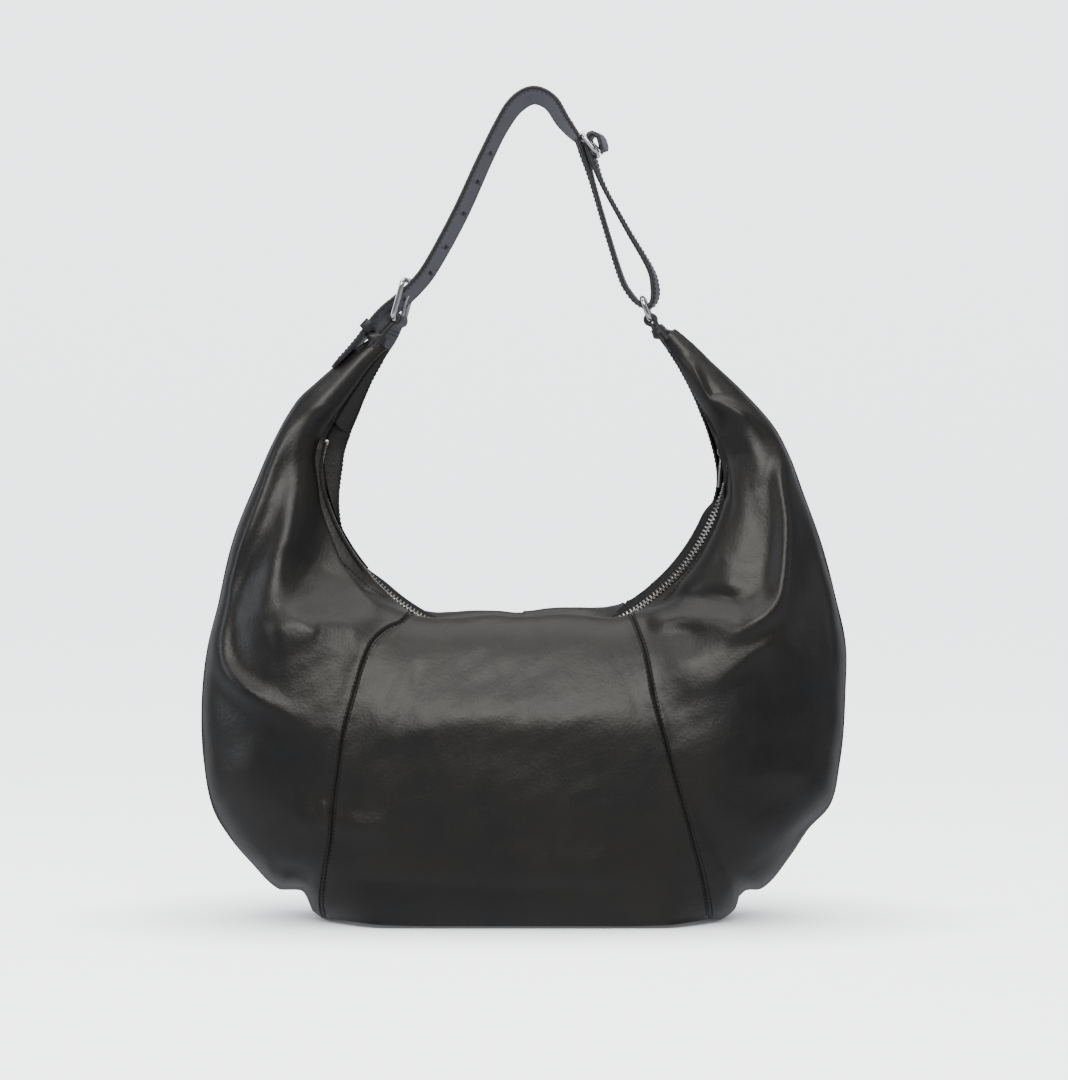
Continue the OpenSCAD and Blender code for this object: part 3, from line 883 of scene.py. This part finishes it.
def zip_puller():
    """Flat puller with a rounded end, an eye and a hole, lying along the chain."""
    ring_t = np.linspace(0, 2 * math.pi, 40, endpoint=False)
    ring_pts = np.stack([-3.0 + 3.6 * np.cos(ring_t), 3.0 * np.sin(ring_t)], 1)
    pin = slider_p + slider_in * PIN_OFF
    line = pin + ring_pts[:, :1] * slider_x + ring_pts[:, 1:] * Y_AXIS
    eye = sweep("eye", line, slider_in, circle(0.85, 10), closed=True)
    blade = block("blade", (22, 6.6, 1.7), slider_place(-17.4, 0, PIN_OFF), 0.75)
    bpy.ops.mesh.primitive_cylinder_add(radius=1.7 * MM, depth=8 * MM, vertices=32)
    cutter = bpy.context.object
    cutter.matrix_world = Matrix.Translation(Vector((pin - slider_x * 25) * MM)) @ \
        to_matrix((0, 0, 0), slider_x, Y_AXIS, slider_in)
    cut(blade, [cutter])
    obj = join("zip_puller_metal", [blade, eye])
    return finish_piece(obj, ZIP_NICKEL, ["zip_puller"], "puller")


def cut(obj, cutters):
    """Takes the cutters out of a piece and removes them."""
    for c in cutters:
        mod = obj.modifiers.new("cut", "BOOLEAN")
        mod.operation, mod.solver, mod.object = "DIFFERENCE", "EXACT", c
        bpy.context.view_layer.objects.active = obj
        bpy.ops.object.modifier_apply(modifier=mod.name)
        bpy.data.objects.remove(c, do_unlink=True)
    return obj


zip_slider()
zip_puller()

# ---- strap

BELT_LINE = [(-147.5, 426.5), (-133, 441.5), (-118.5, 457.5), (-107, 469), (-96, 478), (-84, 489), (-71.5, 505),
    (-49.6, 545), (-30.4, 587), (-17.5, 613), (-6, 630), (7.5, 637.5), (21, 632), (31, 617), (42.4, 603.3)]
LOOP_LINE = [(42.6, 603.0), (47.4, 590), (53, 571), (63.5, 535), (75.5, 497), (82.5, 484), (90, 476), (97, 474),
    (101.4, 479.5), (101.8, 490), (97.6, 504.5), (80, 534.5), (62.5, 566), (54.6, 586), (50.8, 598),
    (52.8, 607), (59.5, 604.5), (62.8, 593.5)]
# How far the belt's far edge lies off its near edge, per mm of width, along the belt.
BELT_SHIFT = [(0, 0.06), (0.1, 0.13), (0.16, 0.3), (0.22, 0.38), (0.3, 0.38), (0.42, 0.38), (0.5, 0.4),
    (0.62, 0.36), (0.74, 0.44), (0.86, 0.38), (0.94, 0.3), (1, 0.1)]
LOOP_SHIFT = [(0, 0.2), (0.06, 0.2), (0.13, 0.08), (0.3, 0.12), (0.42, 0.12), (0.52, 0.2), (0.62, 0.1),
    (0.7, 0.05), (0.77, 0.16), (0.88, 0.14), (0.94, 0.2), (1, 0.24)]
# Shares of the belt's length: the five holes, the hole that the prong fills, and the keeper.
HOLES_AT = [0.42, 0.461, 0.504, 0.545, 0.586, 4.35 / 14]
HOLE_R = 1.8
KEEPER_AT = 2 / 14
BELT_N, LOOP_N = 281, 320
STRAP_W, STRAP_T = 25.0, 3.0
BACK_W, BACK_T = STRAP_W - 1.4, 0.5
BACK_OFF = STRAP_T / 2 + 0.05


def flat_line(line, n):
    """Points of a line in the XZ plane with its unit tangents and left-hand normals."""
    p = along(line, np.linspace(0, 1, n))
    d = tangents_along(p)
    return p, d, np.stack([-d[:, 1], d[:, 0]], 1)


def belt_rail(line, n, shift, across, off):
    """Line along a belt, at a place across its width and off its middle layer."""
    p, d, normal = flat_line(line, n)
    s = shift(np.linspace(0, 1, n), normal)
    xz = p + normal * np.reshape(off, (-1, 1)) + s * np.reshape(across, (-1, 1))
    return at_depth(xz, across)


def main_shift(t, normal):
    return -normal * stations(BELT_SHIFT, t)[:, None]


def loop_shift(t, normal):
    return np.stack([stations(LOOP_SHIFT, t), 0 * t], 1)


def belt(name, line, n, shift, width, thickness, off=0.0, ends=(0, 0)):
    """Flat belt with painted round edges; its far edge is shifted off its near edge."""
    profile = rounded_rect(width, thickness, thickness * 0.42, 4)
    spots = np.arange(n)
    narrow = np.ones(n)
    for reach, distance in ((ends[0], spots), (ends[1], n - 1 - spots)):
        if reach:
            narrow *= np.sqrt(np.clip((distance + 0.4) / reach, 0.05, 1))
    rows = [belt_rail(line, n, shift, u * narrow, v + off) for u, v in profile]
    return outward(add_mesh(name, np.stack(rows, 1).reshape(-1, 3), tube_faces(n, len(profile))))


def cutter_at(p, axis, r, h):
    """Round cutter of radius r and length h along an axis."""
    bpy.ops.mesh.primitive_cylinder_add(radius=r * MM, depth=h * MM, vertices=28)
    c = bpy.context.object
    q = Vector(axis).to_track_quat("Z", "Y")
    c.matrix_world = Matrix.Translation(Vector(p * MM)) @ q.to_matrix().to_4x4()
    return c


def punch(obj):
    """Cuts the round holes through the main belt."""
    p, d, normal = flat_line(BELT_LINE, BELT_N)
    spots = [int(t * (BELT_N - 1)) for t in HOLES_AT]
    return cut(obj, [cutter_at(at_depth(p[i]), at_depth(normal[i]), HOLE_R, 14) for i in spots])


def bend_tail(obj):
    """The belt's tail rests on the horn; this only bakes the piece's place into its mesh and does not bend it.
    """
    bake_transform(obj)
    return obj


def strap():
    obj = belt("strap_belt", BELT_LINE, BELT_N, main_shift, STRAP_W, STRAP_T, ends=(9, 0))
    punch(obj)
    bend_tail(finish_piece(obj, STRAP_LEATHER, ["strap"], None))
    under = belt("strap_lining", BELT_LINE, BELT_N, main_shift, BACK_W, BACK_T, -BACK_OFF, (10, 0))
    punch(under)
    bend_tail(finish_piece(under, STRAP_BACK, body=None))


def strap_loop():
    obj = belt("strap_loop_belt", LOOP_LINE, LOOP_N, loop_shift, STRAP_W, STRAP_T, ends=(0, 8))
    finish_piece(obj, STRAP_LEATHER, ["strap_loop"], "strap_set")
    under = belt("strap_loop_lining", LOOP_LINE, LOOP_N, loop_shift, BACK_W, BACK_T, BACK_OFF, (0, 9))
    finish_piece(under, STRAP_BACK, body="strap_set")


def belt_stitches():
    """Edge stitching along both edges of the belts, on both faces."""
    places = []
    n = 300
    for line, shift, span in ((BELT_LINE, main_shift, slice(8, 292)), (LOOP_LINE, loop_shift, slice(10, 290))):
        normal = flat_line(line, n)[2]
        for across in (-10.4, 10.4):
            for face in (-1, 1):
                rail = belt_rail(line, n, shift, across, face * (STRAP_T / 2 + 0.3))
                places += stitch_places(rail[span], at_depth(normal)[span] * face, 3.6)
    obj = repeated("belt_stitches", *capsule(2.4, 0.28), places)
    return bend_tail(finish_piece(obj, THREAD, body=None))


strap()
strap_loop()
belt_stitches()

# ---- hardware

# Ends of each metal frame in the front view, and how it leans for each mm of depth (x, z).
BAR = {LEFT: (-97, 464), RIGHT: (98.5, 464)}
BUCKLE_TOP, RING_TOP = (-88.5, 494), (92.5, 480.5)
ADJUSTER = ((46.5, 605), (57, 591.5))
LEAN = {LEFT: (0.26, -0.05), RIGHT: (0.08, 0.0)}
ADJUSTER_LEAN = (0.05, -0.05)
WIRE = 2.0
FRAME_HALF = 15.6


def sheared(obj, shear):
    """Moves points sideways and up by their distance behind the middle plane."""
    for v in obj.data.vertices:
        v.co.x += shear[0] * v.co.y
        v.co.z += shear[1] * v.co.y
    obj.data.update()
    return obj


def wire_frame(node, p, q, corner, lean):
    """Closed rounded rectangle of wire from bar p to bar q."""
    p3, q3 = at_depth(p), at_depth(q)
    up = unit(q3 - p3)
    outline = rounded_rect(2 * FRAME_HALF, np.linalg.norm(q3 - p3), corner, 7)
    dense = []
    for a, b in zip(outline, np.roll(outline, -1, 0)):
        steps = max(1, int(np.linalg.norm(b - a) / 2.5))
        dense += [a + (b - a) * k / steps for k in range(steps)]
    dense = np.array(dense)
    path = (p3 + q3) / 2 + dense[:, :1] * Y_AXIS + dense[:, 1:] * up
    obj = sweep(f"{node}_metal", path, np.cross(Y_AXIS, up), circle(WIRE, 16), closed=True)
    return finish_piece(sheared(obj, lean), NICKEL, [node], "strap_set")


def prong(node, p, q, side, lift):
    """Prong curled round bar p, its tip resting on bar q."""
    p3, q3 = at_depth(p), at_depth(q)
    length = np.linalg.norm(q3 - p3)
    up = unit(q3 - p3)
    out = np.cross(up, Y_AXIS) * side
    curl = [p3 + 3.3 * (math.cos(w) * out + math.sin(w) * up) for w in np.radians(np.linspace(-250, 60, 16))]
    rest = [p3 + out * 2.2 + up * 5, p3 + out * lift + up * length * 0.5,
            q3 + out * 3.6 - up * 1.5, q3 + out * 3.4 + up * 2.6]
    t = np.linspace(0, 1, 80)
    obj = sweep(f"{node}_metal", along(curl + rest, t), Y_AXIS, circle(1.45, 12),
                scale=np.interp(t, [0, 0.8, 1], [1, 1, 0.75]))
    return finish_piece(obj, NICKEL, [node], "strap_set")


wire_frame("buckle_frame", BAR[LEFT], BUCKLE_TOP, 4.5, LEAN[LEFT])
wire_frame("adjuster_frame", *ADJUSTER, 4.0, ADJUSTER_LEAN)
wire_frame("ring", BAR[RIGHT], RING_TOP, 5.5, LEAN[RIGHT])
prong("buckle_prong", BAR[LEFT], BUCKLE_TOP, -1, 1.8)
prong("adjuster_prong", *ADJUSTER, 1, 2.6)


def keeper():
    """Leather loop round the belt's tail."""
    outline = rounded_rect(STRAP_W + 2.8, STRAP_T + 3.2, 2.2, 6)
    p, d, normal = flat_line(BELT_LINE, BELT_N)
    i = int(KEEPER_AT * (BELT_N - 1))
    shift = main_shift(np.array([KEEPER_AT]), normal[i:i + 1])[0]
    xz = p[i] + normal[i] * outline[:, 1:] + shift * outline[:, :1]
    profile = rounded_rect(8.5, 2.0, 0.8, 3)
    obj = sweep("keeper_leather", at_depth(xz, outline[:, 0]), at_depth(d[i]), profile, closed=True)
    return bend_tail(finish_piece(obj, STRAP_LEATHER, ["keeper"], None))


keeper()


def loft(name, middles, side, half_side, half_depth):
    """Closed skin through rounded sections; side is the direction of the first half width."""
    sides, power = 40, 0.75
    turn = np.linspace(0, 2 * math.pi, sides, endpoint=False)
    c, s = (np.sign(v) * np.abs(v) ** power for v in (np.cos(turn), np.sin(turn)))
    verts = [at_depth(p + np.outer(hs * c, d), hd * s)
             for p, d, hs, hd in zip(middles, side, half_side, half_depth)]
    return outward(add_mesh(name, np.concatenate(verts), tube_faces(len(verts), sides)))


# Sections of the gathered leather under each tab: half width, half depth, shift outward.
TIP_SIZES = {
    LEFT: ((9.8, 9.0, 5.0), (7.6, 9.2, 3.4), (4.8, 9.4, 1.2)),
    RIGHT: ((6.4, 9.0, 0), (5.8, 9.2, 0), (5.0, 9.4, 0)),
}


def horn_tip(side, foot, axis):
    """Leather gathered round the tab where it leaves the horn."""
    end = HORN_END[side]
    angles = side * np.array([end - 5, end - 2.5, end - 0.6])
    outer, inner = outer_radius(angles), rim_radius(angles, FRONT)
    r, half = (outer + inner) / 2, (outer - inner) / 2
    turn = np.radians(angles)
    middles = list(on_arc(r, turn)[:, ::2])
    sides = [np.array([math.sin(w), -math.cos(w)]) for w in turn]
    deep = HALF_DEPTH * stations(DEPTH_SHARE, np.abs(angles))
    out = np.array([-axis[1], axis[0]]) * -side
    hs, hd = list(half - 1.2), list(deep - 1.4)
    for k, (width, depth, off) in enumerate(TIP_SIZES[side]):
        middles.append(foot + axis * (2.5 + 3.2 * k) + out * off)
        sides.append(out if np.dot(out, sides[-1]) > 0 else -out)
        hs.append(width)
        hd.append(min(depth, hd[0] + 3))
    t = np.linspace(0, 1, 24)
    name = f"{SIDES[side]}_collar"
    half_side, half_depth = along(np.stack([hs, hd], 1), t).T
    obj = loft(f"{name}_leather", along(middles, t), along(sides, t), half_side, half_depth)
    sheared(obj, LEAN[side])
    return finish_piece(obj, STRAP_LEATHER, [name])


TWIST = {LEFT: 0.34, RIGHT: 0.0}


def twisted(obj, foot, axis, length, side):
    """Turns a tab a little towards the viewer, more the further it is from its bar."""
    for v in obj.data.vertices:
        s = ((v.co.x / MM - foot[0]) * axis[0] + (v.co.z / MM - foot[1]) * axis[1]) / length
        k = TWIST[side] * float(ease(1.25 - s)) * v.co.y
        v.co.x += k * axis[1]
        v.co.z -= k * axis[0]
    obj.data.update()


def tab(side, foot):
    """Leather strip folded round the bar, both layers running down into the horn's tip."""
    bar, foot = np.array(BAR[side], float), np.array(foot)
    axis = unit(bar - foot)
    out = np.array([-axis[1], axis[0]])
    r, gap = WIRE + 1.65, 1.66
    length = np.linalg.norm(bar - foot)
    angles = np.radians(np.linspace(-20, 200, 16))
    turn = [bar + r * (math.sin(w) * axis - math.cos(w) * out) for w in angles]
    up_side = [foot - out * gap + axis * s for s in np.linspace(-4, length - 4.2, 6)]
    down_side = [foot + out * gap + axis * s for s in np.linspace(length - 4.2, -4, 6)]
    path = along(up_side + turn + down_side, np.linspace(0, 1, 130))
    name = f"{SIDES[side]}_tab"
    obj = sweep(f"{name}_leather", at_depth(path), Y_AXIS, rounded_rect(18.0, 3.3, 1.2, 4))
    places = []
    for s in (length * 0.52, length * 0.52 + 3):
        for face in (-1, 1):
            p = foot + axis * s + out * face * (gap + 1.45)
            for y in np.linspace(-7.5, 7.5, 6):
                places.append(frame_at(at_depth(p, y), Y_AXIS, at_depth(-axis) * face, at_depth(out) * face))
    thread = repeated(f"{name}_stitches", *capsule(2.2, 0.34), places)
    for piece, material in ((obj, STRAP_LEATHER), (thread, THREAD)):
        twisted(sheared(piece, LEAN[side]), foot, axis, length, side)
        finish_piece(piece, material, body=None)
        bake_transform(piece)
    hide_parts(name)
    horn_tip(side, foot, axis)


tab(LEFT, (-111.0, 443.5))
tab(RIGHT, (108.0, 451.0))

# ---- stage

def lamp(name, place, target, size, power, colour):
    data = bpy.data.lights.new(name, "AREA")
    data.shape, data.size, data.size_y = "RECTANGLE", size[0], size[1]
    data.energy, data.color = power, colour
    obj = new_object(name, data)
    obj.location = place
    obj.rotation_euler = (Vector(target) - Vector(place)).to_track_quat("-Z", "Y").to_euler()
    return obj


def backdrop():
    """Floor that curves up behind the bag, and a round wall of the same paper for the other views.

    The paper glows and darkens near things, which draws the contact shadow; no lamp lights it evenly enough.
    """
    depth, height, half, r = 6.5, 6.0, 9.0, 1.6
    side = [(-half, 0.0), (depth - r, 0.0)]
    side += [(depth - r + r * math.sin(w), r - r * math.cos(w)) for w in np.linspace(0, math.pi / 2, 24)[1:]]
    side.append((depth, height))
    verts = [(x / MM, y / MM, z / MM - 0.05) for y, z in side for x in (-half, half)]
    floor = add_mesh("floor", verts, [(i, i + 1, i + 3, i + 2) for i in range(0, len(verts) - 2, 2)])
    m = Nodes(bpy.data.materials.new("paper"))
    m.set(Base_Color=m.colours(m.noise(2, 2, 0.5), (0.80, 0.81, 0.825), (0.81, 0.82, 0.835)), Roughness=0.9,
          Specular_IOR_Level=0.0, Emission_Color=(0.94, 0.965, 1.0, 1))
    near = m.add("ShaderNodeAmbientOcclusion", samples=16, Distance=0.16)
    m.set(Emission_Strength=m.spread(m.maths("POWER", near.outputs["AO"], 1.7), 0.1, 3.1))
    bpy.ops.mesh.primitive_cylinder_add(vertices=96, radius=7.5, depth=12, end_fill_type="NOTHING")
    wall = bpy.context.object
    wall.name = "wall"
    wall.visible_shadow = False
    for obj in (floor, wall):
        obj.data.materials.append(m.owner)
        obj.visible_glossy = obj.visible_diffuse = False


backdrop()


def studio_world():
    """Dim room in front and above, pale floor below, white backdrop behind."""
    world = bpy.data.worlds.new("studio")
    w = Nodes(world, "Background")
    shares = [w.spread(w.axis("Generated", axis), 0.0, share, From_Min=start, From_Max=end,
                       interpolation_type="SMOOTHSTEP")
              for axis, start, end, share in (("Z", -0.05, -0.4, 0.62), ("Y", 0.6, 1.0, 0.7))]
    glow = w.colours(w.maths("MAXIMUM", *shares), (0.12, 0.122, 0.128), (0.98, 1.0, 1.06), (0.0, 1.0))
    w.set(Color=glow, Strength=1.0)
    bpy.context.scene.world = world


studio_world()

lamps = [
    lamp("front", (0, -2.0, 1.58), (0, 0, 0.2), (1.8, 1.25), 52, (1.0, 0.98, 0.93)),
    lamp("top", (0, 0.1, 1.9), (0, 0, 0.2), (2.0, 1.5), 27, (1.0, 0.985, 0.96)),
    lamp("left", (-1.9, -0.1, 0.75), (0, 0, 0.25), (0.9, 1.3), 11, (0.88, 0.92, 1.0)),
    lamp("right", (1.9, -0.1, 0.75), (0, 0, 0.25), (0.9, 1.3), 3, (0.88, 0.92, 1.0)),
]

# A distant, low camera; VIEW_WIDTH is the width of the picture at the bag, in metres.
CAM_DISTANCE, CAM_RISE, VIEW_WIDTH, SENSOR = 3.4, math.radians(1.8), 0.837, 36
target = Vector((0.0082, 0.0, 0.2935))
cam_data = bpy.data.cameras.new("camera")
camera = new_object("camera", cam_data)
back = Vector((0, -math.cos(CAM_RISE), math.sin(CAM_RISE)))
camera.location = target + back * CAM_DISTANCE
camera.rotation_euler = (-back).to_track_quat("-Z", "Y").to_euler()
cam_data.sensor_width = SENSOR
cam_data.lens = SENSOR * CAM_DISTANCE / VIEW_WIDTH
bpy.context.scene.camera = camera
